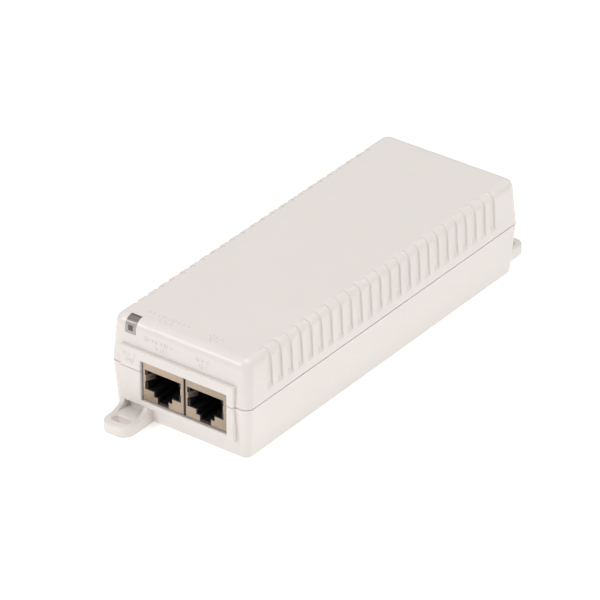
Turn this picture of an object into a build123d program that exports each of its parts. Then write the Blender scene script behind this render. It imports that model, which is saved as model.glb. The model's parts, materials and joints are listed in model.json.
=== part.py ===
from build123d import *
import os
from math import cos, radians, sin

# Single-port PoE injector with a built-in mains supply. Millimetres, +Z up.
# The two network jacks face -Y, the mains inlet faces +Y, and the origin is at
# the bottom centre of the body, which is symmetric in outline about Z.

# Case
WIDTH = 53.0
LENGTH = 143.0
HEIGHT = 34.0
PARTING_Z = 18.0
PARTING_GAP = 0.24
RIM_EDGE_R = 0.15
WALL = 2.2
FLOOR = 2.0
TOP_INSET = 0.9
BASE_INSET = 1.3
CORNER_R = 3.0
TOP_CORNER_R = 3.7
BASE_CORNER_R = 2.6
TOP_EDGE_R = 3.2
BASE_EDGE_R = 1.0
RIM_TONGUE = 1.0
RIM_OVERLAP = 1.6

# Grip grooves along both long sides
GROOVE_COUNT = 24
GROOVE_PITCH = 5.083
GROOVE_WIDTH = 2.5
GROOVE_DEPTH = 0.7
GROOVE_LIP = 0.2
GROOVE_ROOT = 0.2
GROOVE_LOW_Z = 21.0
GROOVE_RUNOUT = 2.2
GROOVE_TOP_X = 22.3
FIRST_GROOVE_WALL_Y = -58.8

# Raised pads round the jacks and round the inlet
PAD_HALF_WIDTH = 21.5
PAD_Y = 72.4
PAD_EDGE_R = 0.3
MOUTH_BEVEL = 0.25
FRONT_PAD_Z = (6.0, 25.2)
REAR_PAD_Z = (5.6, 30.2)

# Screw ears: one at the front left, one at the rear right
EAR_X = -16.3
EAR_HALF_WIDTH = 5.3
EAR_TIP_Y = -83.2
EAR_CORNER_R = 3.7
EAR_EDGE_R = 0.45
EAR_THICKNESS = 3.4
EAR_GUSSET = 1.7
EAR_GUSSET_END_Y = -78.2
SLOT_Y = -78.8
SLOT_LENGTH = 6.5
SLOT_WIDTH = 3.2
SLOT_BEVEL = 0.35

# Shielded RJ45 jacks, latch down
JACK_X = {"out": -5.8, "in": 10.35}
SHIELD_OFFSET = 0.2
JACK_WIDTH = 15.8
JACK_Z = (8.0, 21.45)
JACK_FRONT_Y = -71.5
JACK_DEPTH = 21.0
SHEET = 0.3
SHIELD_CORNER_R = 0.35
SHIELD_FRONT_R = 0.2
JACK_OPENING_Z = (7.8, 21.7)
JACK_OPENING_X = (-13.85, 18.8)
PLUG_HALF_WIDTH = 6.85
PLUG_Z = (12.0, 18.85)
LATCH_HALF_WIDTH = 3.5
LATCH_LOW_Z = 10.3
LATCH_TIP_HALF_WIDTH = 2.1
LATCH_TIP_Z = 8.3
SPRING_Z = (14.65, 16.95)
SPRING_DEPTH = 3.3
SPRING_TIP_HALF_WIDTH = 5.4
CAVITY_HALF_WIDTH = 6.0
CAVITY_TOP_Z = 18.7
CAVITY_END_Y = -56.0

# Contact springs of a jack: eight wires hinged at the front bend
WIRE_COUNT = 8
WIRE_PITCH = 1.016
WIRE_WIDTH = 0.46
WIRE_THICKNESS = 0.34
WIRE_EYE_R = 0.3
WIRE_LENGTH = 9.6
WIRE_SLOPE = 22.0
WIRE_HINGE_Y = -67.5
WIRE_HINGE_Z = 19.2
LEAD_Z = 20.6

# Light pipe above the status lamps
LENS_X = (-20.5, -16.5)
LENS_BACK_Y = -67.3
LENS_LOW_Z = 29.2
LENS_GAP = 0.06
STEM_X = (-19.6, -17.4)
STEM_Y = (-67.9, -66.1)
STEM_LOW_Z = 10.8

# Main circuit board on four posts
BOARD_HALF_WIDTH = 22.5
BOARD_HALF_LENGTH = 68.2
BOARD_TOP_Z = 8.0
BOARD_THICKNESS = 1.6
POSTS = [(-18.8, -50.0), (18.8, -44.0), (-19.6, 60.0), (18.8, 60.0)]
POST_R = 2.7
SCREW_R = 1.2
SCREW_HEAD_R = 2.3
SCREW_HEAD_HEIGHT = 1.6
SCREW_BITE = 3.6

# C14 appliance inlet
INLET_X = -3.0
INLET_Z = 18.0
INLET_BODY = (27.5, 20.0)
INLET_FACE_Y = 72.0
INLET_BACK_Y = 52.0
INLET_RECESS = (24.8, 17.0)
INLET_RECESS_DEPTH = 16.5
INLET_BEVEL = 5.0
INLET_FLANGE = (30.0, 22.6)
INLET_FLANGE_Y = (66.2, 68.2)
BLADE = (2.0, 4.0)
BLADE_SPREAD = 7.0
EARTH_OFFSET = 4.0
LINE_TIP_Y = 68.6
EARTH_TIP_Y = 70.2

# Snap hooks that hold the cover down
HOOK_Y = 36.0
HOOK_WIDTH = 8.0

# Blank rating label under the base
LABEL_X = (-19.0, 19.0)
LABEL_Y = (-38.0, 42.0)
LABEL_FACE_Z = 0.08
LABEL_POCKET = 0.25
LABEL_MARGIN = 0.25

# Insulating sheet on the floor
SHEET_X = (-21.0, 21.0)
SHEET_Y = (-8.0, 66.0)
SHEET_THICKNESS = 0.4

# Components on the board: places are (x, y), boxes are (x0, x1, y0, y1)
LEAD_R = 0.4
FUSE = (16.4, 51.6)
FUSE_R = 4.2
VARISTOR = (17.6, 41.8)
X_CAPACITOR = (-20.8, -3.0, 42.2, 48.6)
CHOKE = (6.5, 43.5)
CHOKE_Z = 16.6
CHOKE_R = (3.6, 6.6)
CHOKE_HALF_WIDTH = 2.6
CHOKE_SKIN = 0.9
BRIDGE = (0.6, 14.6, 33.2, 36.6)
BULK_CAPACITOR = (-12.2, 17.0)
BULK_CAPACITOR_SIZE = (8.0, 22.5)
PRIMARY_SINK = (19.0, 20.6, 12.0, 36.0)
SECONDARY_SINK = (-20.6, -19.0, -20.0, 6.0)
SINK_TOP_Z = 29.0
TRANSISTOR_Y = 24.0
DIODE_Y = -7.0
TRANSFORMER = (3.0, -2.0)
Y_CAPACITOR = (-8.2, 12.8)
OPTOCOUPLER = (-16.0, 11.6)
BARRIER = (-11.5, 11.6)
OUTPUT_CAPACITORS = [(-14.5, -28.5), (-2.5, -28.5)]
OUTPUT_CAPACITOR_SIZE = (5.0, 20.0)
INDUCTOR = (12.5, -28.0)
INDUCTOR_HEIGHT = 10.0
CONTROLLER = (-11.0, -42.0)
LINE_TRANSFORMER = (3.5, -42.0)


def block(x0, x1, y0, y1, z0, z1):
    """A box from its lowest and highest corners."""
    centre = ((x0 + x1) / 2, (y0 + y1) / 2, (z0 + z1) / 2)
    return Pos(*centre) * Box(x1 - x0, y1 - y0, z1 - z0)


def rod_z(x, y, r, z0, z1):
    """An upright cylinder."""
    return Pos(x, y, (z0 + z1) / 2) * Cylinder(r, z1 - z0)


def rod_y(x, z, r, y0, y1):
    """A cylinder lying along Y."""
    return Pos(x, (y0 + y1) / 2, z) * Rot(90, 0, 0) * Cylinder(r, y1 - y0)


def rod_x(y, z, r, x0, x1):
    """A cylinder lying along X."""
    return Pos((x0 + x1) / 2, y, z) * Rot(0, 90, 0) * Cylinder(r, x1 - x0)


def side_profile(points, x0, x1):
    """A polygon of (y, z) points extruded along X."""
    face = make_face(Polyline(*[(0, y, z) for y, z in points], close=True))
    return Pos(x0, 0, 0) * extrude(face, amount=x1 - x0, dir=(1, 0, 0))


def front_profile(points, y0, y1):
    """A polygon of (x, z) points extruded along Y."""
    face = make_face(Polyline(*[(x, 0, z) for x, z in points], close=True))
    return Pos(0, y0, 0) * extrude(face, amount=y1 - y0, dir=(0, 1, 0))


def drafted_block(low, high, low_z, high_z):
    """A loft between two rounded rectangles, each given as (width, length, corner radius)."""
    lower = Pos(0, 0, low_z) * RectangleRounded(low[0], low[1], low[2])
    upper = Pos(0, 0, high_z) * RectangleRounded(high[0], high[1], high[2])
    return loft([lower, upper], ruled=True)


def rim_ring(outer_inset, inner_inset, z0, z1):
    """A ring that follows the case's outline at two insets."""
    outer = RectangleRounded(WIDTH - 2 * outer_inset, LENGTH - 2 * outer_inset, CORNER_R - outer_inset)
    inner_r = max(CORNER_R - inner_inset, 0.6)
    inner = RectangleRounded(WIDTH - 2 * inner_inset, LENGTH - 2 * inner_inset, inner_r)
    return Pos(0, 0, z0) * extrude(outer - inner, amount=z1 - z0)


# ---------------------------------------------------------------- case

def cover_envelope():
    """The cover's outer shape: drafted sides and a rounded top edge."""
    low = (WIDTH, LENGTH, CORNER_R)
    high = (WIDTH - 2 * TOP_INSET, LENGTH - 2 * TOP_INSET, TOP_CORNER_R)
    solid = drafted_block(low, high, PARTING_Z + PARTING_GAP / 2, HEIGHT)
    solid = fillet(solid.faces().sort_by(Axis.Z)[-1].edges(), TOP_EDGE_R)
    return fillet(solid.faces().sort_by(Axis.Z)[0].edges(), RIM_EDGE_R)


def cover_cavity():
    """The space inside the cover, open downwards."""
    low = (WIDTH - 2 * WALL, LENGTH - 2 * WALL, 1.2)
    inset = WALL + TOP_INSET
    high = (WIDTH - 2 * inset, LENGTH - 2 * inset, 1.8)
    solid = drafted_block(low, high, PARTING_Z, HEIGHT - WALL)
    return fillet(solid.faces().sort_by(Axis.Z)[-1].edges(), 1.4)


def base_envelope():
    """The bottom case's outer shape, narrower at the base."""
    low = (WIDTH - 2 * BASE_INSET, LENGTH - 2 * BASE_INSET, BASE_CORNER_R)
    high = (WIDTH, LENGTH, CORNER_R)
    solid = drafted_block(low, high, 0, PARTING_Z - PARTING_GAP / 2)
    solid = fillet(solid.faces().sort_by(Axis.Z)[0].edges(), BASE_EDGE_R)
    return fillet(solid.faces().sort_by(Axis.Z)[-1].edges(), RIM_EDGE_R)


def base_cavity():
    """The space inside the bottom case, open upwards."""
    inset = WALL + BASE_INSET * (1 - FLOOR / PARTING_Z)
    low = (WIDTH - 2 * inset, LENGTH - 2 * inset, 1.0)
    high = (WIDTH - 2 * WALL, LENGTH - 2 * WALL, 1.2)
    return drafted_block(low, high, FLOOR, PARTING_Z)


def pad(front, z_range, z0, z1):
    """The part of a raised pad that lies between two heights; its outer edges are rounded."""
    low, high = z_range
    face_y = -PAD_Y if front else PAD_Y
    wall_y = face_y + (3.0 if front else -3.0)
    solid = block(-PAD_HALF_WIDTH, PAD_HALF_WIDTH, min(face_y, wall_y), max(face_y, wall_y), low, high)
    outer = solid.faces().sort_by(Axis.Y)[0 if front else -1]
    solid = fillet(outer.edges(), PAD_EDGE_R)
    return solid & block(-WIDTH, WIDTH, -LENGTH, LENGTH, z0, z1)


def bevelled_opening(x_range, z_range, side):
    """A rectangular opening through an end wall, bevelled where it meets the pad."""
    (x0, x1), (z0, z1) = x_range, z_range
    inner, outer = sorted((side * (LENGTH / 2 - 4), side * LENGTH))
    opening = block(x0, x1, inner, outer, z0, z1)
    rings = []
    for y, grow in ((PAD_Y - MOUTH_BEVEL, 0), (PAD_Y + 0.01, MOUTH_BEVEL + 0.01)):
        left, right, low, high = x0 - grow, x1 + grow, z0 - grow, z1 + grow
        corners = [(left, low), (right, low), (right, high), (left, high)]
        rings.append(make_face(Polyline(*[(x, side * y, z) for x, z in corners], close=True)))
    return opening + loft(rings, ruled=True)


def jack_openings():
    """The opening in the front wall for both jacks."""
    return bevelled_opening(JACK_OPENING_X, JACK_OPENING_Z, -1)


def inlet_opening():
    """The opening in the rear wall for the inlet."""
    half_x = INLET_BODY[0] / 2 + 0.2
    half_z = INLET_BODY[1] / 2 + 0.2
    return bevelled_opening((INLET_X - half_x, INLET_X + half_x), (INLET_Z - half_z, INLET_Z + half_z), 1)


def side_x(z):
    """The cover's right face at a height."""
    return WIDTH / 2 - TOP_INSET * (z - PARTING_Z) / (HEIGHT - PARTING_Z)


def groove_section():
    """A groove's cross-section in (along the case, out of the surface), bevelled at its lips and roots."""
    half, over = GROOVE_WIDTH / 2, 0.3
    right = [(half + GROOVE_LIP + over, over), (half, -GROOVE_LIP), (half, GROOVE_ROOT - GROOVE_DEPTH),
             (half - GROOVE_ROOT, -GROOVE_DEPTH)]
    left = [(-along, out) for along, out in reversed(right)]
    return make_face(Polyline(*(right + left), close=True))


def groove_cutter():
    """One groove's cut on the right side: up the face, round the top edge, with sloping ends."""
    start_z = GROOVE_LOW_Z - 1.6
    start = Vector(side_x(start_z), 0, start_z)
    corner = Vector(side_x(HEIGHT), 0, HEIGHT)
    path = FilletPolyline(start, corner, Vector(GROOVE_TOP_X - 3, 0, HEIGHT), radius=TOP_EDGE_R)
    across = Plane(origin=start, x_dir=(0, -1, 0), z_dir=corner - start)
    swept = sweep(across * (Pos(GROOVE_WIDTH / 2, 0) * groove_section()), path=path)
    foot_x = side_x(GROOVE_LOW_Z)
    inner_x = foot_x - 2
    low_z = GROOVE_LOW_Z - 0.5 * GROOVE_RUNOUT
    limits = [(foot_x + 0.5, low_z), (inner_x, GROOVE_LOW_Z + 2 * GROOVE_RUNOUT),
              (inner_x, HEIGHT + GROOVE_TOP_X - inner_x), (GROOVE_TOP_X - 1.5, HEIGHT + 1.5),
              (foot_x + 1.5, HEIGHT + 1.5), (foot_x + 1.5, low_z)]
    return swept & front_profile(limits, -GROOVE_WIDTH * 2, GROOVE_WIDTH)


def grooves():
    """All the grip grooves on both long sides."""
    right = groove_cutter()
    left = mirror(right, Plane.YZ)
    cuts = []
    for index in range(GROOVE_COUNT):
        wall_y = FIRST_GROOVE_WALL_Y + index * GROOVE_PITCH
        cuts += [Pos(0, wall_y, 0) * right, Pos(0, wall_y, 0) * left]
    return cuts


def lens_block(margin):
    """The box that the light pipe's window fills in the cover's front top edge."""
    return block(LENS_X[0] - margin, LENS_X[1] + margin, -LENGTH, LENS_BACK_Y + margin,
                 LENS_LOW_Z - margin, HEIGHT + 1)


def snap_hook(side, y):
    """A cantilever hook that hangs from the cover's side wall."""
    half = HOOK_WIDTH / 2
    points = [(21.2, 31.0), (24.0, 31.0), (24.0, 20.0), (22.6, 18.6), (22.6, 12.9), (23.5, 12.7),
              (22.7, 10.2), (21.2, 10.2)]
    return front_profile([(side * x, z) for x, z in points], y - half, y + half)


def top_cover():
    """The upper half of the case."""
    outer = cover_envelope() + pad(True, FRONT_PAD_Z, PARTING_Z + PARTING_GAP / 2, HEIGHT)
    outer += pad(False, REAR_PAD_Z, PARTING_Z + PARTING_GAP / 2, HEIGHT)
    for cut in grooves():
        outer -= cut
    cover = outer - cover_cavity()
    rebate_inset = WALL - RIM_TONGUE - 0.1
    cover -= rim_ring(rebate_inset, WALL + 0.5, PARTING_Z - 1, PARTING_Z + RIM_OVERLAP)
    for side in (-1, 1):
        for y in (-HOOK_Y, HOOK_Y):
            cover += snap_hook(side, y) & (cover_cavity() + block(-25, 25, -60, 60, 0, PARTING_Z))
    cover -= jack_openings()
    cover -= inlet_opening()
    return cover - lens_block(LENS_GAP)


def screw_ear():
    """A slotted ear with a squarish round end and two concave gussets up to the pad's lower edge."""
    length = -EAR_TIP_Y - 66
    plan = Pos(EAR_X, EAR_TIP_Y + length / 2) * RectangleRounded(2 * EAR_HALF_WIDTH, length, EAR_CORNER_R)
    plate = extrude(plan, amount=EAR_THICKNESS)
    plate = fillet(plate.faces().sort_by(Axis.Z)[-1].edges(), EAR_EDGE_R)
    wall_y, top_z = -PAD_Y, FRONT_PAD_Z[0]
    curve = ThreePointArc((0, wall_y, top_z), (0, wall_y - 1.9, EAR_THICKNESS + 0.95),
                          (0, EAR_GUSSET_END_Y, EAR_THICKNESS))
    back = Polyline((0, EAR_GUSSET_END_Y, EAR_THICKNESS), (0, EAR_GUSSET_END_Y, EAR_THICKNESS - 1),
                    (0, -68, EAR_THICKNESS - 1), (0, -68, top_z), (0, wall_y, top_z))
    gusset = extrude(make_face([curve, back]), amount=EAR_GUSSET, dir=(1, 0, 0))
    gusset = fillet(gusset.edges().filter_by(GeomType.CIRCLE), EAR_EDGE_R)
    ear = plate
    for x in (EAR_X - EAR_HALF_WIDTH, EAR_X + EAR_HALF_WIDTH - EAR_GUSSET):
        ear += Pos(x, 0, 0) * gusset
    slot = Pos(EAR_X, SLOT_Y, -1) * extrude(SlotOverall(SLOT_LENGTH, SLOT_WIDTH), amount=10)
    flare = 2 * SLOT_BEVEL + 0.02
    neck = Pos(EAR_X, SLOT_Y, EAR_THICKNESS - SLOT_BEVEL) * SlotOverall(SLOT_LENGTH, SLOT_WIDTH)
    mouth = Pos(EAR_X, SLOT_Y, EAR_THICKNESS + 0.01) * SlotOverall(SLOT_LENGTH + flare, SLOT_WIDTH + flare)
    return ear - slot - loft([neck, mouth])


def board_posts():
    """Posts that carry the circuit board, each with a blind hole for its screw."""
    underside = BOARD_TOP_Z - BOARD_THICKNESS
    posts = []
    for x, y in POSTS:
        post = rod_z(x, y, POST_R, FLOOR - 0.5, underside)
        posts.append(post - rod_z(x, y, SCREW_R, underside - SCREW_BITE, underside + 1))
    return posts


def bottom_case():
    """The lower half of the case, with ears, posts, hook ledges and the label's pocket."""
    top = PARTING_Z - PARTING_GAP / 2
    outer = base_envelope() + pad(True, FRONT_PAD_Z, 0, top) + pad(False, REAR_PAD_Z, 0, top)
    case = outer - base_cavity()
    case += rim_ring(WALL - RIM_TONGUE, WALL, top - 0.6, PARTING_Z + RIM_OVERLAP - 0.1)
    ear = screw_ear() - block(-WIDTH, WIDTH, -LENGTH / 2 + 1.8, 0, -1, HEIGHT)
    case += ear
    case += Rot(0, 0, 180) * ear
    for post in board_posts():
        case += post
    for side in (-1, 1):
        for y in (-HOOK_Y, HOOK_Y):
            ledge = [(22.9, 13.1), (24.6, 13.1), (24.6, 16.4), (24.2, 16.4)]
            points = [(side * x, z) for x, z in ledge]
            case += front_profile(points, y - HOOK_WIDTH / 2 - 1, y + HOOK_WIDTH / 2 + 1)
    case -= jack_openings()
    case -= inlet_opening()
    (x0, x1), (y0, y1) = LABEL_X, LABEL_Y
    return case - block(x0 - LABEL_MARGIN, x1 + LABEL_MARGIN, y0 - LABEL_MARGIN, y1 + LABEL_MARGIN,
                        -1, LABEL_POCKET)


def rating_label():
    """The blank rating label in its shallow pocket under the base."""
    sheet = block(LABEL_X[0], LABEL_X[1], LABEL_Y[0], LABEL_Y[1], LABEL_FACE_Z, LABEL_POCKET)
    return fillet(sheet.edges().filter_by(Axis.Z), 1.5)


def light_pipe():
    """A clear window flush with the cover, with a stem down to the status lamps."""
    window = (cover_envelope() & lens_block(0)) - cover_cavity()
    flange = block(LENS_X[0] - 0.6, LENS_X[1] + 0.6, -70.0, STEM_Y[1] + 0.6, HEIGHT - WALL - 1.2, HEIGHT)
    flange = flange & cover_cavity()
    stem = block(STEM_X[0], STEM_X[1], STEM_Y[0], STEM_Y[1], STEM_LOW_Z, HEIGHT - WALL - 0.6)
    return window + flange + stem


def insulation_sheet():
    """A fish-paper sheet on the floor under the mains side of the board."""
    sheet = block(SHEET_X[0], SHEET_X[1], SHEET_Y[0], SHEET_Y[1], FLOOR, FLOOR + SHEET_THICKNESS)
    for x, y in POSTS[2:]:
        sheet -= rod_z(x, y, POST_R + 0.4, 0, 10)
    return sheet


# ---------------------------------------------------------------- board

def main_board():
    """The circuit board, with screw holes and a routed gap under the isolation barrier."""
    low = BOARD_TOP_Z - BOARD_THICKNESS
    board = block(-BOARD_HALF_WIDTH, BOARD_HALF_WIDTH, -BOARD_HALF_LENGTH, BOARD_HALF_LENGTH,
                  low, BOARD_TOP_Z)
    board = chamfer(board.edges().filter_by(Axis.Z), 1.0)
    for x, y in POSTS:
        board -= rod_z(x, y, SCREW_R + 0.2, 0, 20)
    barrier = Pos(*BARRIER, 0) * extrude(SlotOverall(14, 1.2), amount=20)
    return board - barrier


def board_screws():
    """Four pan-head screws that hold the board to the posts."""
    screws = []
    for x, y in POSTS:
        head = rod_z(x, y, SCREW_HEAD_R, BOARD_TOP_Z, BOARD_TOP_Z + SCREW_HEAD_HEIGHT)
        head = fillet(head.faces().sort_by(Axis.Z)[-1].edges(), 0.6)
        shank = rod_z(x, y, SCREW_R, BOARD_TOP_Z - BOARD_THICKNESS - SCREW_BITE + 0.2, BOARD_TOP_Z + 0.1)
        top = BOARD_TOP_Z + SCREW_HEAD_HEIGHT
        cross = block(x - 1.3, x + 1.3, y - 0.3, y + 0.3, top - 0.8, top + 1)
        cross += block(x - 0.3, x + 0.3, y - 1.3, y + 1.3, top - 0.8, top + 1)
        screws.append(head + shank - cross)
    return Compound(children=screws)


# ---------------------------------------------------------------- jacks

def plug_opening(x, y0, y1):
    """The stepped hole for a plug and its latch."""
    wide, step, tip = PLUG_HALF_WIDTH, LATCH_HALF_WIDTH, LATCH_TIP_HALF_WIDTH
    right = [(wide, PLUG_Z[1]), (wide, PLUG_Z[0]), (step, PLUG_Z[0]), (step, LATCH_LOW_Z),
             (tip, LATCH_LOW_Z), (tip, LATCH_TIP_Z)]
    left = [(-offset, z) for offset, z in reversed(right)]
    return front_profile([(x + offset, z) for offset, z in right + left], y0, y1)


def side_spring(x, side):
    """A grounding leaf that slants back and inwards from the opening's side edge."""
    root_x = x + side * (PLUG_HALF_WIDTH + 0.15)
    tip_x = x + side * SPRING_TIP_HALF_WIDTH
    back_y = JACK_FRONT_Y + SPRING_DEPTH
    points = [(root_x, JACK_FRONT_Y), (root_x, JACK_FRONT_Y + SHEET), (tip_x, back_y),
              (tip_x - side * 0.25, back_y), (root_x - side * 0.35, JACK_FRONT_Y)]
    face = make_face(Polyline(*[(px, py, 0) for px, py in points], close=True))
    low, high = SPRING_Z
    return Pos(0, 0, low) * extrude(face, amount=high - low)


def jack_shield(name):
    """The formed sheet shield: front plate with the stepped hole, top, sides, back and floor strips."""
    x = JACK_X[name]
    x0, x1 = x + SHIELD_OFFSET - JACK_WIDTH / 2, x + SHIELD_OFFSET + JACK_WIDTH / 2
    y0, y1 = JACK_FRONT_Y, JACK_FRONT_Y + JACK_DEPTH
    z0, z1 = JACK_Z
    outer = block(x0, x1, y0, y1, z0, z1)
    outer = fillet(outer.edges().filter_by(Axis.Y), SHIELD_CORNER_R)
    outer = fillet(outer.faces().sort_by(Axis.Y)[0].edges(), SHIELD_FRONT_R)
    inner = block(x0 + SHEET, x1 - SHEET, y0 + SHEET, y1 - SHEET, z0 + SHEET, z1 - SHEET)
    shield = outer - inner - plug_opening(x, y0 - 1, y0 + SHEET + 0.1)
    floor_gap = block(x0 + 2.5, x1 - 2.5, y0 + 3.0, y1 + 1, z0 - 1, z0 + SHEET + 0.1)
    shield -= floor_gap
    for side in (-1, 1):
        shield += side_spring(x, side)
    return shield


def jack_insert(name):
    """The black moulding: plug cavity, latch channel, comb recess and lead channel."""
    x = JACK_X[name]
    half = JACK_WIDTH / 2 - SHEET
    centre = x + SHIELD_OFFSET
    y0, y1 = JACK_FRONT_Y + SHEET, JACK_FRONT_Y + JACK_DEPTH - SHEET
    insert = block(centre - half, centre + half, y0, y1, JACK_Z[0] + SHEET, JACK_Z[1] - SHEET)
    wide, step, tip = CAVITY_HALF_WIDTH, LATCH_HALF_WIDTH - 0.3, LATCH_TIP_HALF_WIDTH - 0.3
    insert -= block(x - wide, x + wide, y0 - 1, CAVITY_END_Y, PLUG_Z[0] + 0.2, CAVITY_TOP_Z)
    insert -= block(x - step, x + step, y0 - 1, CAVITY_END_Y, LATCH_LOW_Z + 0.2, PLUG_Z[0] + 1)
    insert -= block(x - tip, x + tip, y0 - 1, CAVITY_END_Y - 6, LATCH_TIP_Z + 0.7, PLUG_Z[0])
    for side in (-1, 1):
        outer = x + side * (PLUG_HALF_WIDTH + 0.25)
        inner = x + side * (wide - 0.1)
        insert -= block(min(outer, inner), max(outer, inner), y0 - 1, JACK_FRONT_Y + SPRING_DEPTH + 1.2,
                        SPRING_Z[0] - 0.3, SPRING_Z[1] + 0.3)
    comb = WIRE_PITCH * WIRE_COUNT / 2
    comb_y = WIRE_HINGE_Y - 0.9
    insert -= block(x - comb, x + comb, comb_y, CAVITY_END_Y - 0.8, CAVITY_TOP_Z - 0.4, WIRE_HINGE_Z + 1)
    insert -= block(x - comb, x + comb, comb_y, y1 + 1, LEAD_Z - 0.5, JACK_Z[1])
    insert -= block(x - comb, x + comb, comb_y, WIRE_HINGE_Y + 0.9, CAVITY_TOP_Z - 0.4, LEAD_Z)
    return insert - block(x - comb, x + comb, y1 - 1.6, y1 + 1, JACK_Z[0], JACK_Z[1])


def wire_places(name):
    """The X position of each of a jack's eight wires."""
    first = JACK_X[name] - WIRE_PITCH * (WIRE_COUNT - 1) / 2
    return [first + index * WIRE_PITCH for index in range(WIRE_COUNT)]


def contact_wire(x):
    """A sprung wire: an eye on the hinge axis and a blade that slopes back and down."""
    half = WIRE_WIDTH / 2
    eye = rod_x(WIRE_HINGE_Y, WIRE_HINGE_Z, WIRE_EYE_R, x - half, x + half)
    along = (cos(radians(WIRE_SLOPE)), -sin(radians(WIRE_SLOPE)))
    across = (sin(radians(WIRE_SLOPE)) * WIRE_THICKNESS / 2, cos(radians(WIRE_SLOPE)) * WIRE_THICKNESS / 2)
    tip_y = WIRE_HINGE_Y + along[0] * WIRE_LENGTH
    tip_z = WIRE_HINGE_Z + along[1] * WIRE_LENGTH
    curl_y = tip_y + 0.9
    curl_z = tip_z - 0.05
    points = [(WIRE_HINGE_Y + across[0], WIRE_HINGE_Z + across[1]), (tip_y + across[0], tip_z + across[1]),
              (curl_y, curl_z + across[1]), (curl_y, curl_z - across[1]),
              (tip_y - across[0], tip_z - across[1]), (WIRE_HINGE_Y - across[0], WIRE_HINGE_Z - across[1])]
    return eye + side_profile(points, x - half, x + half)


def jack_contacts(name):
    """The eight sprung wires of a jack."""
    return Compound(children=[contact_wire(x) for x in wire_places(name)])


def fixed_lead(x):
    """A lead from just above the hinge, back along the insert's roof and down to the board."""
    half = WIRE_WIDTH / 2
    low, high = LEAD_Z - WIRE_THICKNESS / 2, LEAD_Z + WIRE_THICKNESS / 2
    front = WIRE_HINGE_Y - WIRE_THICKNESS / 2
    back = JACK_FRONT_Y + JACK_DEPTH - SHEET - 0.5
    bend = front + WIRE_THICKNESS
    gap = 0.04
    points = [(front, WIRE_HINGE_Z + WIRE_EYE_R + gap), (front, high), (back, high), (back, BOARD_TOP_Z),
              (back - WIRE_THICKNESS, BOARD_TOP_Z), (back - WIRE_THICKNESS, low), (bend, low),
              (bend, WIRE_HINGE_Z + WIRE_EYE_R + gap)]
    return side_profile(points, x - half, x + half)


def jack_leads(name):
    """The eight fixed leads of a jack."""
    return Compound(children=[fixed_lead(x) for x in wire_places(name)])


# ---------------------------------------------------------------- inlet

def bevelled_rectangle(width, height, bevel):
    """A rectangle whose two upper corners are cut off, as (x, z) points about the inlet's centre."""
    half_w, half_h = width / 2, height / 2
    points = [(-half_w, -half_h), (half_w, -half_h), (half_w, half_h - bevel), (half_w - bevel, half_h),
              (-half_w + bevel, half_h), (-half_w, half_h - bevel)]
    return [(INLET_X + x, INLET_Z + z) for x, z in points]


def blade_places():
    """The (x, z) centre of each blade: line, neutral and the offset earth."""
    low = INLET_Z - EARTH_OFFSET / 2
    return {"line": (INLET_X - BLADE_SPREAD, low), "neutral": (INLET_X + BLADE_SPREAD, low),
            "earth": (INLET_X, INLET_Z + EARTH_OFFSET / 2)}


def inlet_body():
    """The C14 inlet's moulding: deep recess with two cut corners, and a flange behind the wall."""
    half_x, half_z = INLET_BODY[0] / 2, INLET_BODY[1] / 2
    body = block(INLET_X - half_x, INLET_X + half_x, INLET_BACK_Y, INLET_FACE_Y,
                 INLET_Z - half_z, INLET_Z + half_z)
    body = fillet(body.edges().filter_by(Axis.Y), 1.0)
    wide, tall = INLET_FLANGE[0] / 2, INLET_FLANGE[1] / 2
    body += block(INLET_X - wide, INLET_X + wide, INLET_FLANGE_Y[0], INLET_FLANGE_Y[1],
                  BOARD_TOP_Z, INLET_Z + tall)
    outline = bevelled_rectangle(INLET_RECESS[0], INLET_RECESS[1], INLET_BEVEL)
    recess = front_profile(outline, INLET_FACE_Y - INLET_RECESS_DEPTH, INLET_FACE_Y + 1)
    recess = fillet(recess.edges().filter_by(Axis.Y), 0.5)
    body -= recess
    mouth = bevelled_rectangle(INLET_RECESS[0] + 0.9, INLET_RECESS[1] + 0.9, INLET_BEVEL)
    inner = bevelled_rectangle(INLET_RECESS[0], INLET_RECESS[1], INLET_BEVEL)
    outer_face = make_face(Polyline(*[(x, INLET_FACE_Y + 0.01, z) for x, z in mouth], close=True))
    inner_face = make_face(Polyline(*[(x, INLET_FACE_Y - 0.6, z) for x, z in inner], close=True))
    body -= loft([outer_face, inner_face], ruled=True)
    for x, z in blade_places().values():
        half_w, half_h = BLADE[0] / 2, BLADE[1] / 2
        body -= block(x - half_w, x + half_w, INLET_BACK_Y - 1, INLET_FACE_Y - INLET_RECESS_DEPTH + 1,
                      z - half_h, z + half_h)
    return body


def inlet_pin(name):
    """A blade with a chamfered tip, and a solder tail bent down to the board."""
    x, z = blade_places()[name]
    tip_y = EARTH_TIP_Y if name == "earth" else LINE_TIP_Y
    half_w, half_h = BLADE[0] / 2, BLADE[1] / 2
    blade = block(x - half_w, x + half_w, INLET_BACK_Y - 1.8, tip_y, z - half_h, z + half_h)
    tip = blade.faces().sort_by(Axis.Y)[-1]
    blade = chamfer(tip.edges(), 0.6)
    tail_w = 0.9 if name == "earth" else 0.7
    return blade + block(x - tail_w, x + tail_w, INLET_BACK_Y - 1.8, INLET_BACK_Y - 0.6, BOARD_TOP_Z, z)


# ---------------------------------------------------------------- components

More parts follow.
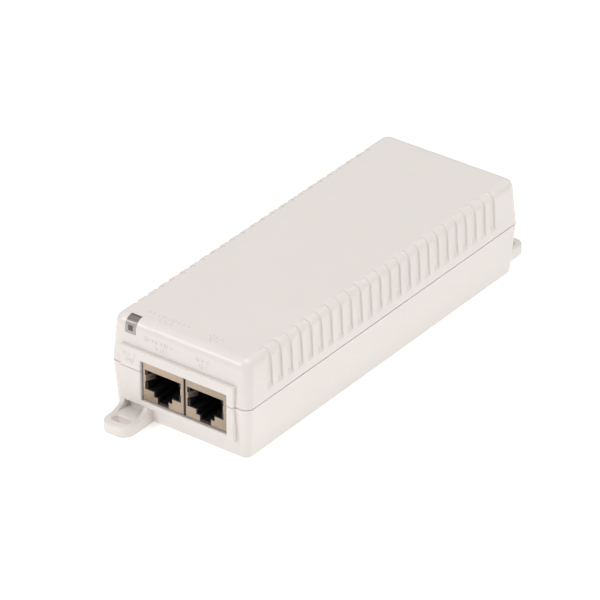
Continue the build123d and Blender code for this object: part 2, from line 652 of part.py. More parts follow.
def radial_disc(x, y, r, half_thickness, along_x, lift):
    """A coated disc component standing on two leads."""
    z = BOARD_TOP_Z + lift + r
    if along_x:
        disc = rod_x(y, z, r, x - half_thickness, x + half_thickness)
    else:
        disc = rod_y(x, z, r, y - half_thickness, y + half_thickness)
    disc = fillet(disc.edges().filter_by(GeomType.CIRCLE), half_thickness * 0.6)
    for offset in (-r * 0.5, r * 0.5):
        lead_x = x if along_x else x + offset
        lead_y = y + offset if along_x else y
        disc += rod_z(lead_x, lead_y, LEAD_R, BOARD_TOP_Z, z - r * 0.3)
    return disc


def fuse():
    """A round radial fuse in a moulded can."""
    x, y = FUSE
    can = rod_z(x, y, FUSE_R, BOARD_TOP_Z + 0.6, BOARD_TOP_Z + 8.6)
    can = fillet(can.faces().sort_by(Axis.Z)[-1].edges(), 0.6)
    for offset in (-2.5, 2.5):
        can += rod_z(x, y + offset, LEAD_R, BOARD_TOP_Z, BOARD_TOP_Z + 1)
    return can


def x_capacitor():
    """The mains filter's boxed film capacitor on two leads."""
    x0, x1, y0, y1 = X_CAPACITOR
    low = BOARD_TOP_Z + 0.4
    body = block(x0, x1, y0, y1, low, BOARD_TOP_Z + 14.5)
    body = fillet(body.edges().filter_by(Axis.Z) + body.faces().sort_by(Axis.Z)[-1].edges(), 0.6)
    for offset in (-7.5, 7.5):
        body += rod_z((x0 + x1) / 2 + offset, (y0 + y1) / 2, LEAD_R, BOARD_TOP_Z, low + 0.5)
    return body


def choke_core():
    """A toroid standing on edge."""
    (x, y), z = CHOKE, CHOKE_Z
    ring = rod_y(x, z, CHOKE_R[1], y - CHOKE_HALF_WIDTH, y + CHOKE_HALF_WIDTH)
    ring -= rod_y(x, z, CHOKE_R[0], y - CHOKE_HALF_WIDTH - 1, y + CHOKE_HALF_WIDTH + 1)
    return ring


def choke_windings():
    """Two wound half-coils round the toroid, each on its own side, with leads to the board."""
    (x, y), z = CHOKE, CHOKE_Z
    half = CHOKE_HALF_WIDTH + CHOKE_SKIN
    outer = rod_y(x, z, CHOKE_R[1] + CHOKE_SKIN, y - half, y + half)
    outer -= rod_y(x, z, CHOKE_R[0] - CHOKE_SKIN, y - 10, y + 10)
    outer -= choke_core()
    coils = []
    for side in (-1, 1):
        inner_x, outer_x = sorted((x + side * 1.3, x + side * 9))
        coil = outer & block(inner_x, outer_x, y - 9, y + 9, 0, 40)
        lead_x = x + side * 5.0
        for lead_y in (y - 3.0, y + 3.0):
            coil += rod_z(lead_x, lead_y, LEAD_R, BOARD_TOP_Z, z - 3)
        coils.append(coil)
    return Compound(children=coils)


def bridge_rectifier():
    """A flat four-leg bridge standing on its legs."""
    x0, x1, y0, y1 = BRIDGE
    centre_y = (y0 + y1) / 2
    body = block(x0, x1, y0, y1, BOARD_TOP_Z + 3, BOARD_TOP_Z + 13)
    body = chamfer(body.edges().filter_by(Axis.Y).sort_by(Axis.Z)[-1], 2.5)
    for index in range(4):
        x = x0 + 1.4 + index * 3.75
        body += block(x - 0.4, x + 0.4, centre_y - 0.3, centre_y + 0.3, BOARD_TOP_Z, BOARD_TOP_Z + 4)
    return body


def capacitor_can(radius, length):
    """An electrolytic can on its own axis: rounded sleeve, crimp groove and vented end."""
    can = Pos(0, 0, length / 2) * Cylinder(radius, length)
    can = fillet(can.edges().filter_by(GeomType.CIRCLE), 0.5)
    can -= Pos(0, 0, 2.0) * Torus(radius + 0.15, 0.5)
    vent = Pos(0, 0, length) * Box(radius * 1.3, 0.4, 0.4)
    vent += Pos(0, 0, length) * Box(0.4, radius * 1.3, 0.4)
    return can - vent


def bulk_capacitor():
    """The mains reservoir capacitor, laid along the board with its leads bent down."""
    radius, length = BULK_CAPACITOR_SIZE
    x, y0 = BULK_CAPACITOR
    can = Pos(x, y0 + length, BOARD_TOP_Z + radius) * Rot(90, 0, 0) * capacitor_can(radius, length)
    for offset in (-3.75, 3.75):
        can += block(x + offset - 0.4, x + offset + 0.4, y0 + length - 0.3, y0 + length + 0.6,
                     BOARD_TOP_Z, BOARD_TOP_Z + radius)
    return can


def power_tab(x_back, direction, y):
    """A three-leg power package bolted flat on a heatsink whose face is at x_back."""
    x_tab = x_back + direction * 1.3
    x_body = x_back + direction * 4.3
    tab = block(min(x_back, x_tab), max(x_back, x_tab), y - 5, y + 5, 12.5, 27.0)
    tab -= rod_x(y, 24.6, 1.8, x_back - 5, x_back + 5)
    body = block(min(x_tab, x_body), max(x_tab, x_body), y - 5, y + 5, 12.5, 21.5)
    package = tab + body
    lead_x = x_back + direction * 2.4
    for offset in (-2.54, 0, 2.54):
        package += block(lead_x - 0.35, lead_x + 0.35, y + offset - 0.45, y + offset + 0.45,
                         BOARD_TOP_Z, 13)
    return package


def heatsink(outline, fin_direction):
    """An aluminium plate with short fins at its top edge."""
    x0, x1, y0, y1 = outline
    plate = block(x0, x1, y0, y1, BOARD_TOP_Z, SINK_TOP_Z)
    root_x = x1 if fin_direction > 0 else x0
    inner, outer = sorted((root_x, root_x + fin_direction * 2.2))
    count = int((y1 - y0) // 3)
    for index in range(count):
        y = y0 + 1 + index * (y1 - y0 - 2) / (count - 1)
        plate += block(inner, outer, y - 0.4, y + 0.4, SINK_TOP_Z - 2, SINK_TOP_Z)
    return plate


def transformer_core():
    """An E-core pair: two side legs and a centre leg joined by end yokes, split at mid-height."""
    x, y = TRANSFORMER
    halves = []
    for z0, z1 in ((10.0, 18.98), (19.02, 28.0)):
        half = block(x - 12.5, x + 12.5, y - 6.5, y + 6.5, z0, z1)
        low, high = (13.2, 20) if z0 < 12 else (18, 24.8)
        for side in (-1, 1):
            inner, outer = sorted((x + side * 3.6, x + side * 9.2))
            half -= block(inner, outer, y - 8, y + 8, low, high)
        halves.append(half)
    return Compound(children=halves)


def transformer_bobbin():
    """The bobbin: a tube round the centre leg, two flanges and a row of pins each side."""
    x, y = TRANSFORMER
    bobbin = block(x - 4.4, x + 4.4, y - 7.3, y + 7.3, 13.3, 24.7)
    for z in (13.3, 23.9):
        bobbin += block(x - 9.0, x + 9.0, y - 11.5, y + 11.5, z, z + 0.8)
    for side in (-1, 1):
        foot_y = sorted((y + side * 8.0, y + side * 12.0))
        bobbin += block(x - 9.0, x + 9.0, foot_y[0], foot_y[1], 9.0, 13.5)
        for index in range(4):
            pin_x = x - 7.5 + index * 5
            bobbin += rod_z(pin_x, y + side * 10.5, LEAD_R, BOARD_TOP_Z, 9.5)
    return bobbin - block(x - 3.65, x + 3.65, y - 6.55, y + 6.55, 0, 40)


def transformer_winding():
    """The taped winding between the bobbin's flanges."""
    x, y = TRANSFORMER
    coil = block(x - 8.9, x + 8.9, y - 11.2, y + 11.2, 14.15, 23.85)
    coil = fillet(coil.edges().filter_by(Axis.Z), 2.5)
    coil -= block(x - 4.45, x + 4.45, y - 7.35, y + 7.35, 0, 40)
    return coil


def optocoupler():
    """A four-pin isolator that bridges the barrier."""
    x, y = OPTOCOUPLER
    body = block(x - 2.3, x + 2.3, y - 3.2, y + 3.2, BOARD_TOP_Z + 0.5, BOARD_TOP_Z + 4)
    for offset_x in (-1.27, 1.27):
        for side in (-1, 1):
            pin_y = sorted((y + side * 3.1, y + side * 4.0))
            body += block(x + offset_x - 0.3, x + offset_x + 0.3, pin_y[0], pin_y[1],
                          BOARD_TOP_Z, BOARD_TOP_Z + 2.2)
    return body


def output_capacitors():
    """Two upright output capacitors."""
    cans = [Pos(x, y, BOARD_TOP_Z) * capacitor_can(*OUTPUT_CAPACITOR_SIZE) for x, y in OUTPUT_CAPACITORS]
    return Compound(children=cans)


def inductor_core():
    """A drum core for the output filter."""
    x, y = INDUCTOR
    top = BOARD_TOP_Z + INDUCTOR_HEIGHT
    drum = rod_z(x, y, 6.0, BOARD_TOP_Z, top)
    waist = rod_z(x, y, 7.0, BOARD_TOP_Z + 1.5, top - 1.5)
    waist -= rod_z(x, y, 3.0, BOARD_TOP_Z, top)
    return drum - waist


def inductor_winding():
    """The drum's winding, ribbed by its turns."""
    x, y = INDUCTOR
    coil = rod_z(x, y, 5.3, BOARD_TOP_Z + 1.5, BOARD_TOP_Z + INDUCTOR_HEIGHT - 1.5)
    for index in range(6):
        coil -= Pos(x, y, BOARD_TOP_Z + 2.5 + index) * Torus(5.5, 0.35)
    return coil - rod_z(x, y, 3.0, 0, 40)


def chip(x, y, width, length, height, pin_count):
    """A flat chip package with gull-wing pins along its two long sides."""
    half_w, half_l = width / 2, length / 2
    body = block(x - half_w, x + half_w, y - half_l, y + half_l, BOARD_TOP_Z + 0.15, BOARD_TOP_Z + height)
    body -= rod_z(x - half_w + 1.2, y + half_l - 1.2, 0.5, BOARD_TOP_Z + height - 0.15, BOARD_TOP_Z + 20)
    for side in (-1, 1):
        for index in range(pin_count):
            pin_y = y - half_l + (index + 0.5) * length / pin_count
            inner, outer = sorted((x + side * (half_w - 0.1), x + side * (half_w + 1.0)))
            body += block(inner, outer, pin_y - 0.2, pin_y + 0.2, BOARD_TOP_Z, BOARD_TOP_Z + 0.4)
    return body


def status_leds():
    """Two chip lamps on the board below the light pipe's stem."""
    lamps = []
    y = (STEM_Y[0] + STEM_Y[1]) / 2
    for x in (STEM_X[0] + 0.3, STEM_X[1] - 0.3):
        lamp = block(x - 0.6, x + 0.6, y - 1.0, y + 1.0, BOARD_TOP_Z, BOARD_TOP_Z + 0.5)
        dome = block(x - 0.6, x + 0.6, y - 0.7, y + 0.7, BOARD_TOP_Z + 0.5, BOARD_TOP_Z + 1.1)
        lamps.append(lamp + dome)
    return Compound(children=lamps)


def build():
    """Every sub-part by its node name."""
    parts = {
        "top_cover": top_cover(),
        "bottom_case": bottom_case(),
        "rating_label": rating_label(),
        "light_pipe": light_pipe(),
        "insulation_sheet": insulation_sheet(),
        "main_board": main_board(),
        "board_screws": board_screws(),
        "inlet_body": inlet_body(),
        "fuse": fuse(),
        "varistor": radial_disc(*VARISTOR, 4.4, 1.8, True, 1.0),
        "x_capacitor": x_capacitor(),
        "choke_core": choke_core(),
        "choke_windings": choke_windings(),
        "bridge_rectifier": bridge_rectifier(),
        "bulk_capacitor": bulk_capacitor(),
        "switching_transistor": power_tab(PRIMARY_SINK[0], -1, TRANSISTOR_Y),
        "primary_heatsink": heatsink(PRIMARY_SINK, -1),
        "transformer_core": transformer_core(),
        "transformer_bobbin": transformer_bobbin(),
        "transformer_winding": transformer_winding(),
        "y_capacitor": radial_disc(*Y_CAPACITOR, 3.2, 1.6, False, 1.0),
        "optocoupler": optocoupler(),
        "rectifier_diode": power_tab(SECONDARY_SINK[1], 1, DIODE_Y),
        "secondary_heatsink": heatsink(SECONDARY_SINK, 1),
        "output_capacitors": output_capacitors(),
        "inductor_core": inductor_core(),
        "inductor_winding": inductor_winding(),
        "pse_controller": chip(*CONTROLLER, 7.5, 10.0, 2.2, 9),
        "line_transformer": chip(*LINE_TRANSFORMER, 12.0, 15.0, 6.0, 12),
        "status_leds": status_leds(),
    }
    for name in JACK_X:
        parts["jack_shield_" + name] = jack_shield(name)
        parts["jack_insert_" + name] = jack_insert(name)
        parts["jack_contacts_" + name] = jack_contacts(name)
        parts["jack_leads_" + name] = jack_leads(name)
    for name in blade_places():
        parts["inlet_" + name + "_pin"] = inlet_pin(name)
    return parts


os.makedirs("parts", exist_ok=True)
for node, shape in build().items():
    export_step(shape, "parts/" + node + ".step")
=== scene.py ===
import json
from math import cos, pi, radians, sin

import bpy
from mathutils import Matrix, Vector


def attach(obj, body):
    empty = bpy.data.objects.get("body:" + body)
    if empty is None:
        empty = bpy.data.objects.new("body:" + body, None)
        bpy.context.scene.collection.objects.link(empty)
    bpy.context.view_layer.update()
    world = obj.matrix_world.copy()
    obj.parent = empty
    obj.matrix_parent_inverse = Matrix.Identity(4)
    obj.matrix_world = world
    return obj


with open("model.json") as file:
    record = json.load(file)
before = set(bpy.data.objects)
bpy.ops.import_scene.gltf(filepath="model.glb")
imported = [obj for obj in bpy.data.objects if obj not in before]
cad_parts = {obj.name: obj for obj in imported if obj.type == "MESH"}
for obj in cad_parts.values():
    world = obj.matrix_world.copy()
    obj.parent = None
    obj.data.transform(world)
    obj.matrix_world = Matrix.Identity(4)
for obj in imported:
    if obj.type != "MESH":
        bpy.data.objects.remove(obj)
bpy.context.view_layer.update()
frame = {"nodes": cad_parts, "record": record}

NODES = frame["nodes"]
CASE = "case"
MM = 0.001

# Places on the object, in mm
COVER_FRONT_Y = -71.5
COVER_LEAN = 0.9
COVER_RISE = 16
COVER_TOP_Z = 34.0
PARTING_Z = 18
PAD_FRONT_Y = -72.4
SHIELD_SEAM_X = 2.475
SHIELDS_X = (-13, 18)
STEM_X = -18.5
STEM_Z = 31.0
SOCKET_BACK_Y = (-68.3, -67.5)
WINDOW_BEND_Z = (32.4, 33.3)


# ---------------------------------------------------------------- materials

# A wave texture's scale for bands 1 mm apart
WAVE_SCALE = 314.0
# From metres to the millimetres that a brick texture's sizes are given in
TO_MM = (1000, 1000, 1000)


class Paint:
    """A material under construction, with short calls for the nodes used here."""

    def __init__(self, name):
        self.material = bpy.data.materials.new(name)
        self.material.use_nodes = True
        self.tree = self.material.node_tree
        self.shader = self.tree.nodes["Principled BSDF"]
        self.coords = self.node("ShaderNodeTexCoord").outputs["Object"]

    def node(self, kind, **values):
        made = self.tree.nodes.new(kind)
        for key, value in values.items():
            setattr(made, key, value)
        return made

    def link(self, source, target):
        self.tree.links.new(source, target)

    def set(self, **values):
        """Constant values on the shader, by socket name with _ for a space."""
        for key, value in values.items():
            self.shader.inputs[key.replace("_", " ")].default_value = value

    def stretched(self, scale):
        """Object coordinates scaled by (x, y, z)."""
        mapping = self.node("ShaderNodeMapping")
        mapping.inputs["Scale"].default_value = scale
        self.link(self.coords, mapping.inputs["Vector"])
        return mapping.outputs["Vector"]

    def noise(self, scale, detail=2.0, vector=None):
        made = self.node("ShaderNodeTexNoise")
        made.inputs["Scale"].default_value = scale
        made.inputs["Detail"].default_value = detail
        self.link(vector or self.coords, made.inputs["Vector"])
        return made.outputs["Fac"]

    def bricks(self, first, second, line, width_mm, row_mm, line_mm, offset=0.5):
        """Rows of two kinds of brick with lines between them; gives the node's outputs."""
        made = self.node("ShaderNodeTexBrick", offset=offset)
        for socket, colour in (("Color1", first), ("Color2", second), ("Mortar", line)):
            made.inputs[socket].default_value = (*colour, 1)
        made.inputs["Scale"].default_value = 1.0
        made.inputs["Brick Width"].default_value = width_mm
        made.inputs["Row Height"].default_value = row_mm
        made.inputs["Mortar Size"].default_value = line_mm
        self.link(self.stretched(TO_MM), made.inputs["Vector"])
        return made.outputs

    def bands(self, pitch_mm, distortion):
        """Bands that follow one another along Z."""
        made = self.node("ShaderNodeTexWave", bands_direction="Z")
        made.inputs["Scale"].default_value = WAVE_SCALE / pitch_mm
        made.inputs["Distortion"].default_value = distortion
        self.link(self.coords, made.inputs["Vector"])
        return made.outputs["Fac"]

    def spread(self, source, low, high, from_low=0.3, from_high=0.7):
        """Maps a value from one range to another, held at both ends."""
        made = self.node("ShaderNodeMapRange")
        made.inputs["From Min"].default_value = from_low
        made.inputs["From Max"].default_value = from_high
        made.inputs["To Min"].default_value = low
        made.inputs["To Max"].default_value = high
        self.link(source, made.inputs["Value"])
        return made.outputs["Result"]

    def ramp(self, source, stops):
        """A colour ramp over (position, colour) stops."""
        made = self.node("ShaderNodeValToRGB")
        elements = made.color_ramp.elements
        while len(elements) < len(stops):
            elements.new(0.5)
        for element, (place, colour) in zip(elements, stops):
            element.position = place
            element.color = (*colour, 1)
        self.link(source, made.inputs["Fac"])
        return made.outputs["Color"]

    def axes(self):
        """The object coordinates' x, y and z."""
        made = self.node("ShaderNodeSeparateXYZ")
        self.link(self.coords, made.inputs["Vector"])
        return made.outputs

    def maths(self, operation, first, second=None, value=0.0):
        made = self.node("ShaderNodeMath", operation=operation)
        made.inputs[1].default_value = value
        self.link(first, made.inputs[0])
        if second:
            self.link(second, made.inputs[1])
        return made.outputs["Value"]

    def distance(self, source, centre):
        """How far a value is from a centre."""
        return self.maths("ABSOLUTE", self.maths("SUBTRACT", source, value=centre))

    def times(self, first, second):
        return self.maths("MULTIPLY", first, second)

    def mix(self, factor, first, second):
        """A blend of two colours, each a plain colour or another node's output."""
        made = self.node("ShaderNodeMix", data_type="RGBA")
        self.link(factor, made.inputs["Factor"])
        for socket, colour in zip((made.inputs[6], made.inputs[7]), (first, second)):
            if isinstance(colour, tuple):
                socket.default_value = (*colour, 1)
            else:
                self.link(colour, socket)
        return made.outputs[2]

    def colour(self, source):
        self.link(source, self.shader.inputs["Base Color"])

    def roughness(self, source):
        self.link(source, self.shader.inputs["Roughness"])

    def bump(self, source, height_mm):
        made = self.node("ShaderNodeBump")
        made.inputs["Strength"].default_value = 1.0
        made.inputs["Distance"].default_value = height_mm * MM
        self.link(source, made.inputs["Height"])
        self.link(made.outputs["Normal"], self.shader.inputs["Normal"])


def shade(colour, factor):
    return tuple(min(1.0, channel * factor) for channel in colour)


def moulded(name, colour, rough, grain_scale=4200.0, grain_mm=0.006, mottle=0.02, specular=0.5):
    """Moulded plastic with a fine spark-eroded grain and a faint mottle."""
    paint = Paint(name)
    broad = paint.noise(55.0, 3.0)
    paint.colour(paint.ramp(broad, [(0.3, shade(colour, 1 - mottle)), (0.7, shade(colour, 1 + mottle))]))
    grain = paint.noise(grain_scale, 2.0)
    paint.roughness(paint.spread(grain, rough - 0.05, rough + 0.07))
    paint.bump(grain, grain_mm)
    paint.set(Specular_IOR_Level=specular)
    return paint.material


def sheet_metal(name, colour, rough, brush):
    """Rolled or plated metal; its fine lines run along the axis where the brush's scale is smallest."""
    paint = Paint(name)
    lines = paint.noise(1.0, 3.0, paint.stretched(brush))
    blotch = paint.noise(380.0, 3.0)
    paint.colour(paint.ramp(blotch, [(0.3, shade(colour, 0.94)), (0.7, shade(colour, 1.06))]))
    paint.roughness(paint.spread(lines, rough - 0.08, rough + 0.1))
    paint.bump(lines, 0.004)
    paint.set(Metallic=1.0)
    return paint.material


def clear_plastic(name):
    """Clear moulded plastic with painted shade: a dark patch over the end of the light pipe's leg, a dark
    band along the socket's back edge, and a darker tone on the top side of the bend.

    The closed case behind the real window is dark; here that tone is part of the window's colour.
    """
    paint = Paint(name)
    x, y, z = paint.axes()
    # Painted shade for the dark case seen through the window: a dark patch over the leg's end, a dark band
    # at the back edge, and a darker tone on the top side of the bend.
    patch_shade_x = paint.spread(paint.distance(x, STEM_X * MM), 1, 0, 0.8 * MM, 1.1 * MM)
    patch_shade_z = paint.spread(paint.distance(z, STEM_Z * MM), 1, 0, 0.7 * MM, 1.1 * MM)
    back_edge_shade = paint.spread(y, 0, 1, *(place * MM for place in SOCKET_BACK_Y))
    top_side_shade = paint.spread(z, 0, 1, *(place * MM for place in WINDOW_BEND_Z))
    pale = paint.mix(top_side_shade, (0.60, 0.56, 0.53), (0.33, 0.29, 0.265))
    with_patch_shade = paint.mix(paint.times(patch_shade_x, patch_shade_z), pale, (0.13, 0.105, 0.09))
    paint.colour(paint.mix(back_edge_shade, with_patch_shade, (0.12, 0.09, 0.075)))
    paint.roughness(paint.spread(paint.noise(900.0, 2.0), 0.05, 0.12))
    paint.set(Transmission_Weight=0.3, IOR=1.49)
    return paint.material


def laminate(name):
    """Green solder mask with faint copper traces under it."""
    paint = Paint(name)
    traces = paint.bricks((0.010, 0.085, 0.030), (0.014, 0.110, 0.040), (0.035, 0.200, 0.075),
                          width_mm=3.1, row_mm=1.4, line_mm=0.16)
    paint.colour(traces["Color"])
    paint.roughness(paint.spread(paint.noise(700.0), 0.28, 0.42))
    paint.bump(traces["Fac"], 0.03)
    return paint.material


def jack_metal(name, colour):
    """Tin-plated sheet, painted darker along the seam between the two shields and paler to the left.

    Both tones stand for what the polished sheet reflects in a studio.
    """
    paint = Paint(name)
    x = paint.axes()[0]
    seam = paint.spread(paint.distance(x, SHIELD_SEAM_X * MM), 1, 0, 0.3 * MM, 0.65 * MM)
    across = paint.spread(x, 0, 1, *(place * MM for place in SHIELDS_X))
    plain = paint.mix(across, shade(colour, 1.12), shade(colour, 0.86))
    blotch = paint.spread(paint.noise(380.0, 3.0), 0, 0.22)
    paint.colour(paint.mix(seam, paint.mix(blotch, plain, shade(colour, 0.6)), shade(colour, 0.3)))
    lines = paint.noise(1.0, 3.0, paint.stretched((900, 900, 9000)))
    paint.roughness(paint.spread(lines, 0.22, 0.40))
    paint.bump(lines, 0.004)
    paint.set(Metallic=1.0)
    return paint.material


def ruled_film(name, colour):
    """A blank rating label: satin film with a printed table's faint rules."""
    paint = Paint(name)
    table = paint.bricks(colour, colour, shade(colour, 0.45), width_mm=18.0, row_mm=6.0, line_mm=0.12,
                         offset=0.0)
    paint.colour(table["Color"])
    paint.roughness(paint.spread(paint.noise(2600.0), 0.26, 0.36))
    return paint.material


def wound_wire(name, colour, pitch_mm):
    """Enamelled copper laid turn beside turn."""
    paint = Paint(name)
    turns = paint.bands(pitch_mm, 0.6)
    # The darker part of each band is painted shade in the crease between neighbouring turns.
    paint.colour(paint.ramp(turns, [(0.1, shade(colour, 0.35)), (0.6, colour)]))
    paint.roughness(paint.spread(paint.noise(1200.0), 0.2, 0.34))
    paint.bump(turns, 0.12)
    paint.set(Metallic=1.0, Coat_Weight=0.5)
    return paint.material


def wrapped_tape(name, colour, edge_colour, pitch_mm, rough):
    """Tape wrapped in turns, each with a darker edge."""
    paint = Paint(name)
    turns = paint.bands(pitch_mm, 1.2)
    paint.colour(paint.ramp(turns, [(0.1, edge_colour), (0.5, colour)]))
    paint.roughness(paint.spread(paint.noise(600.0), rough - 0.06, rough + 0.08))
    paint.bump(turns, 0.02)
    return paint.material


HOUSING = (0.80, 0.757, 0.720)
MATERIALS = {
    "housing": moulded("housing", HOUSING, 0.31, mottle=0.008),
    "clear_window": clear_plastic("clear_window"),
    "label_film": ruled_film("label_film", (0.70, 0.70, 0.69)),
    "board_laminate": laminate("board_laminate"),
    "plated_sheet": jack_metal("plated_sheet", (0.42, 0.335, 0.262)),
    "black_moulding": moulded("black_moulding", (0.010, 0.010, 0.012), 0.45, 3600.0, 0.006, 0.10, 0.4),
    "gold_contact": sheet_metal("gold_contact", (0.86, 0.60, 0.25), 0.25, (9000, 900, 9000)),
    "plated_steel": sheet_metal("plated_steel", (0.60, 0.60, 0.60), 0.32, (3000, 3000, 600)),
    "nickel_pin": sheet_metal("nickel_pin", (0.66, 0.63, 0.58), 0.26, (6000, 300, 6000)),
    "fish_paper": moulded("fish_paper", (0.42, 0.45, 0.42), 0.75, 1500.0, 0.02, 0.05),
    "ferrite": moulded("ferrite", (0.035, 0.035, 0.038), 0.60, 2600.0, 0.02, 0.15),
    "copper_wire": wound_wire("copper_wire", (0.70, 0.26, 0.10), 0.8),
    "heatsink_alloy": sheet_metal("heatsink_alloy", (0.70, 0.71, 0.72), 0.36, (7000, 300, 7000)),
    "capacitor_sleeve": moulded("capacitor_sleeve", (0.018, 0.026, 0.060), 0.30, 1800.0, 0.006, 0.08),
    "box_capacitor_case": moulded("box_capacitor_case", (0.62, 0.40, 0.05), 0.45, 2600.0, 0.010, 0.04),
    "disc_coating": moulded("disc_coating", (0.035, 0.110, 0.360), 0.22, 900.0, 0.020, 0.08),
    "package_epoxy": moulded("package_epoxy", (0.020, 0.020, 0.022), 0.55, 5200.0, 0.010, 0.10),
    "winding_tape": wrapped_tape("winding_tape", (0.68, 0.48, 0.06), (0.50, 0.33, 0.03), 2.4, 0.35),
    "bobbin_resin": moulded("bobbin_resin", (0.030, 0.026, 0.022), 0.48, 3000.0, 0.010, 0.10),
    "lamp_lens": moulded("lamp_lens", (0.55, 0.72, 0.50), 0.20, 2000.0, 0.004, 0.03),
}


def finish_cad_nodes():
    """Every CAD node takes its slot's material."""
    for part in frame["record"]["subparts"]:
        mesh = NODES[part["node"]].data
        mesh.materials.clear()
        mesh.materials.append(MATERIALS[part["material_slot"]])


# ---------------------------------------------------------------- raised symbols

STROKE = 0.24 * MM
RELIEF = 0.13 * MM
SUNK = 0.06 * MM
STROKE_SECTION = [(STROKE / 2, -SUNK), (STROKE / 3.4, RELIEF), (-STROKE / 3.4, RELIEF), (-STROKE / 2, -SUNK)]
GLYPH_WIDTH = 1.25 * MM
GLYPH_HEIGHT = 1.35 * MM
GLYPH_PITCH = 1.85 * MM

# Rows of symbols, in mm: upper then lower, or far then near, and where the in port's rows start
FRONT_ROWS_Z = (28.7, 26.75)
TOP_ROWS_Y = (-64.4, -66.4)
IN_ROWS_X = (6.6, 7.9)

RING = [(0.5 + 0.45 * cos(pi * step / 6), 0.5 + 0.45 * sin(pi * step / 6)) for step in range(13)]
GLYPHS = {
    "arrow_out": [[(0, 0.5), (1, 0.5)], [(0.6, 0.9), (1, 0.5), (0.6, 0.1)]],
    "arrow_in": [[(0, 0.5), (1, 0.5)], [(0.4, 0.9), (0, 0.5), (0.4, 0.1)]],
    "bolt": [[(0.65, 1), (0.2, 0.5), (0.75, 0.5), (0.35, 0)]],
    "jack": [[(0, 1), (1, 1), (1, 0.35), (0.72, 0.35), (0.72, 0), (0.28, 0), (0.28, 0.35), (0, 0.35),
              (0, 1)]],
    "ring": [RING],
    "direct": [[(0, 0.68), (1, 0.68)], [(0, 0.3), (0.25, 0.3)], [(0.4, 0.3), (0.6, 0.3)],
               [(0.75, 0.3), (1, 0.3)]],
    "plus": [[(0, 0.5), (1, 0.5)], [(0.5, 0), (0.5, 1)]],
    "bar": [[(0.5, 0), (0.5, 1)]],
}


def stroke_mesh(points, origin, across, up, normal, vertices, faces):
    """Adds one raised stroke with sloping sides along a polyline in glyph units."""
    corners = len(STROKE_SECTION)
    places = [origin + across * (x * GLYPH_WIDTH) + up * (y * GLYPH_HEIGHT) for x, y in points]
    start = len(vertices)
    for index, place in enumerate(places):
        before = places[max(index - 1, 0)]
        after = places[min(index + 1, len(places) - 1)]
        side = normal.cross((after - before).normalized())
        for width, height in STROKE_SECTION:
            vertices.append(place + side * width + normal * height)
    for index in range(len(places) - 1):
        a = start + corners * index
        b = a + corners
        for k in range(corners - 1):
            faces.append((a + k, b + k, b + k + 1, a + k + 1))
    last = start + corners * (len(places) - 1)
    faces.append((start, start + 1, start + 2, start + 3))
    faces.append((last + 3, last + 2, last + 1, last))


def add_symbols(name, rows, normal, up):
    """Rows of raised symbols; each row is (start point, glyph names)."""
    normal, up = Vector(normal).normalized(), Vector(up).normalized()
    across = up.cross(normal)
    vertices, faces = [], []
    for start, names in rows:
        for index, glyph in enumerate(names):
            origin = Vector(start) * MM + across * (index * GLYPH_PITCH)
            for points in GLYPHS[glyph]:
                stroke_mesh(points, origin, across, up, normal, vertices, faces)
    mesh = bpy.data.meshes.new(name)
    mesh.from_pydata(vertices, [], faces)
    mesh.materials.append(MATERIALS["housing"])
    piece = bpy.data.objects.new(name, mesh)
    bpy.context.scene.collection.objects.link(piece)
    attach(piece, CASE)


def cover_front_y(z):
    """Where the cover's front face is at a height; it leans back as it rises."""
    return COVER_FRONT_Y + COVER_LEAN * (z - PARTING_Z) / COVER_RISE


def add_all_symbols():
    """Generic marks: an outgoing powered jack, an incoming one, the lamp's key, and a row on top."""
    lean = (0, -COVER_RISE, COVER_LEAN)
    rise = (0, COVER_LEAN, COVER_RISE)
    high, low = FRONT_ROWS_Z
    far, near = TOP_ROWS_Y
    upper_x, lower_x = IN_ROWS_X
    add_symbols("symbols_out", [
        ((-12.9, cover_front_y(high), high), ["jack", "arrow_out", "bolt", "plus", "jack", "direct", "bar"]),
        ((-8.9, cover_front_y(low), low), ["bolt", "ring", "bar"]),
    ], lean, rise)
    add_symbols("symbols_in", [
        ((upper_x, cover_front_y(high), high), ["jack", "arrow_in", "ring"]),
        ((lower_x, cover_front_y(low), low), ["jack", "bar"]),
    ], lean, rise)
    add_symbols("symbols_lamp", [
        ((-20.3, PAD_FRONT_Y, 22.0), ["ring", "bolt", "bar"]),
        ((-19.4, PAD_FRONT_Y, 20.1), ["ring", "jack"]),
    ], (0, -1, 0), (0, 0, 1))
    add_symbols("symbols_top", [
        ((-17.2, far, COVER_TOP_Z),
         ["ring", "bolt", "bar", "ring", "arrow_out", "jack", "plus", "bolt", "direct"]),
        ((-11.2, near, COVER_TOP_Z), ["jack", "bolt", "bar"]),
        ((upper_x, far, COVER_TOP_Z), ["jack", "arrow_in", "ring"]),
        ((lower_x, near, COVER_TOP_Z), ["jack", "bar"]),
    ], (0, 0, 1), (0, 1, 0))


# ---------------------------------------------------------------- stage

AZIMUTH = radians(36.663)
ELEVATION = radians(30.866)
CAMERA_DISTANCE = 1.506
AIM_RIGHT = 0.005978
AIM_UP = -0.011620
LENS_MM = 288.66
SENSOR_MM = 36.0

LIGHT_AIM = (0, 0, 0.017)
FLOOR_HALF = 4.0
FLOOR_DROP = 0.05 * MM


def view_axes():
    """The camera's right, up and forward directions."""
    right = Vector((cos(AZIMUTH), sin(AZIMUTH), 0))
    forward = Vector((-sin(AZIMUTH) * cos(ELEVATION), cos(AZIMUTH) * cos(ELEVATION), -sin(ELEVATION)))
    return right, right.cross(forward), forward


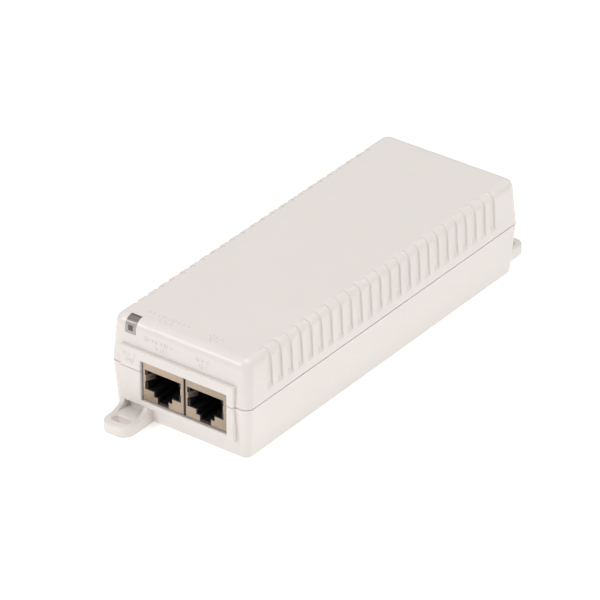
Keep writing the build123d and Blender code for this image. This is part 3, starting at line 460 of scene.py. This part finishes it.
def add_camera():
    right, up, forward = view_axes()
    data = bpy.data.cameras.new("camera")
    data.lens = LENS_MM
    data.sensor_width = SENSOR_MM
    data.clip_end = 20.0
    camera = bpy.data.objects.new("camera", data)
    bpy.context.scene.collection.objects.link(camera)
    place = -CAMERA_DISTANCE * forward - AIM_RIGHT * right - AIM_UP * up
    camera.matrix_world = Matrix((
        (right.x, up.x, -forward.x, place.x),
        (right.y, up.y, -forward.y, place.y),
        (right.z, up.z, -forward.z, place.z),
        (0, 0, 0, 1),
    ))
    bpy.context.scene.camera = camera


def add_light(name, place, size, power, colour=(1, 1, 1)):
    """A square area light aimed at the middle of the object."""
    data = bpy.data.lights.new(name, "AREA")
    data.size = size
    data.energy = power
    data.color = colour
    light = bpy.data.objects.new(name, data)
    bpy.context.scene.collection.objects.link(light)
    aim = Vector(LIGHT_AIM) - Vector(place)
    light.location = place
    light.rotation_euler = aim.to_track_quat("-Z", "Y").to_euler()


def add_floor():
    """A plain pale floor, slightly self-lit so that it stays even to the horizon."""
    mesh = bpy.data.meshes.new("floor")
    half = FLOOR_HALF
    corners = [(-half, -half, 0), (half, -half, 0), (half, half, 0), (-half, half, 0)]
    mesh.from_pydata(corners, [], [(0, 1, 2, 3)])
    floor = bpy.data.objects.new("floor", mesh)
    bpy.context.scene.collection.objects.link(floor)
    paint = Paint("floor")
    tone = paint.noise(2.0)
    paint.colour(paint.ramp(tone, [(0.3, (0.90, 0.90, 0.90)), (0.7, (0.92, 0.92, 0.92))]))
    paint.set(Roughness=0.9, Emission_Color=(1, 1, 1, 1), Emission_Strength=0.38)
    mesh.materials.append(paint.material)
    floor.location.z = -FLOOR_DROP


def add_world():
    world = bpy.data.worlds.new("studio")
    world.use_nodes = True
    background = world.node_tree.nodes["Background"]
    background.inputs["Color"].default_value = (1.0, 0.995, 0.99, 1)
    background.inputs["Strength"].default_value = 0.25
    bpy.context.scene.world = world


def add_studio():
    add_world()
    add_floor()
    add_camera()
    add_light("key", (-0.6, -1.1, 0.95), 0.6, 9.0, (1.0, 0.97, 0.98))
    add_light("fill", (1.25, -0.1, 0.7), 0.7, 3.9, (1.0, 0.965, 0.95))
    add_light("rim", (0.75, 1.0, 0.75), 0.4, 0.6)
    add_light("top", (0.1, 0.3, 1.5), 0.9, 12.0)
    bpy.context.scene.view_settings.view_transform = "Standard"


finish_cad_nodes()
add_all_symbols()
add_studio()
